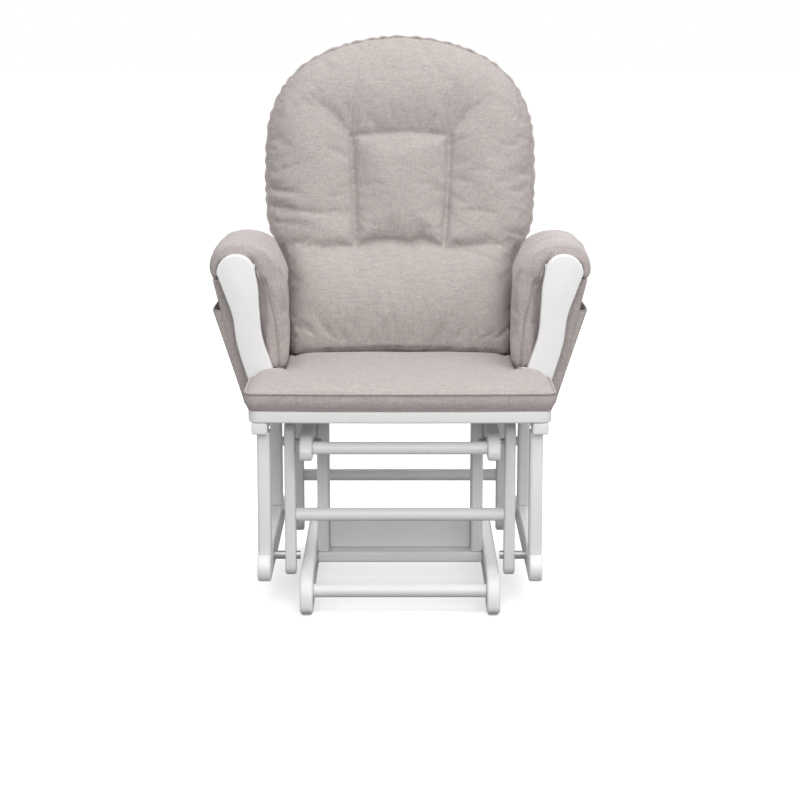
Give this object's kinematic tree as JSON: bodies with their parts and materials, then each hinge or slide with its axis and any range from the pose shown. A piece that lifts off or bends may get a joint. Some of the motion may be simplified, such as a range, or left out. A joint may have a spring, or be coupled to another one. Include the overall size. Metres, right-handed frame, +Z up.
{
  "type": "glider nursery chair",
  "caption": "Padded nursery glider chair: hoop back with a tufted cushion, padded arms with side pockets, seat hung on swinging links from a white floor base.",
  "frame": {"origin": "floor level, at the middle of the chair's width and depth", "axes": "+Z up, the sitter faces -Y, +X is to the right of someone looking at the chair's front"},
  "size_m": [0.717, 0.647, 1.0495],
  "materials": {
    "white_paint": "satin white paint on hardwood",
    "steel": "zinc-plated pivot bolts",
    "upholstery": "light taupe woven polyester",
    "glide": "matt plastic"
  },
  "bodies": {
    "base": {"base_crossboard": "white_paint", "base_sill": "white_paint", "base_upper_rail_left": "white_paint", "base_upper_rail_right": "white_paint", "base_upright_left": "white_paint", "base_upright_right": "white_paint", "foot_rail_left": "white_paint", "foot_rail_right": "white_paint", "front_foot_dowel": "white_paint", "front_glide_left": "glide", "front_glide_right": "glide", "front_upper_bolt_left": "steel", "front_upper_bolt_right": "steel", "front_upper_dowel": "white_paint", "rear_foot_dowel": "white_paint", "rear_glide_left": "glide", "rear_glide_right": "glide", "rear_upper_bolt_left": "steel", "rear_upper_bolt_right": "steel", "rear_upper_dowel": "white_paint"},
    "front_swing": {"front_link_dowel": "white_paint", "front_link_left": "white_paint", "front_link_right": "white_paint"},
    "rear_swing": {"rear_link_dowel": "white_paint", "rear_link_left": "white_paint", "rear_link_right": "white_paint"},
    "seat": {"arm_pad_left": "upholstery", "arm_pad_right": "upholstery", "arm_pocket_left": "upholstery", "arm_pocket_right": "upholstery", "arm_post_left": "white_paint", "arm_post_right": "white_paint", "armrest_left": "white_paint", "armrest_right": "white_paint", "back_cushion": "upholstery", "back_hoop": "white_paint", "back_lower_rail": "white_paint", "back_slat_inner_left": "white_paint", "back_slat_inner_right": "white_paint", "back_slat_outer_left": "white_paint", "back_slat_outer_right": "white_paint", "front_lower_bolt_left": "steel", "front_lower_bolt_right": "steel", "front_post_left": "white_paint", "front_post_right": "white_paint", "rear_lower_bolt_left": "steel", "rear_lower_bolt_right": "steel", "rear_post_left": "white_paint", "rear_post_right": "white_paint", "seat_cushion": "upholstery", "seat_front_rail": "white_paint", "seat_lower_rail_left": "white_paint", "seat_lower_rail_right": "white_paint", "seat_rear_rail": "white_paint", "seat_side_board_left": "white_paint", "seat_side_board_right": "white_paint", "seat_slat_front": "white_paint", "seat_slat_rear": "white_paint", "seat_upper_rail_left": "white_paint", "seat_upper_rail_right": "white_paint"}
  },
  "joints": [
    {"name": "front_swing_pivot", "type": "hinge", "parent": "base", "child": "front_swing", "pos_m": [0, -0.1975, 0.31], "axis": [1, 0, 0], "range_deg": [-15, 15]},
    {"name": "seat_pivot", "type": "hinge", "parent": "front_swing", "child": "seat", "pos_m": [0, -0.1975, 0.09], "axis": [1, 0, 0], "range_deg": [-15, 15]},
    {"name": "rear_swing_pivot", "type": "hinge", "parent": "base", "child": "rear_swing", "pos_m": [0, 0.1325, 0.31], "axis": [1, 0, 0], "range_deg": [-15, 15]}
  ],
  "couplings": [
    {"joint": "seat_pivot", "follows": "front_swing_pivot", "ratio": -1},
    {"joint": "rear_swing_pivot", "follows": "front_swing_pivot", "ratio": 1}
  ]
}
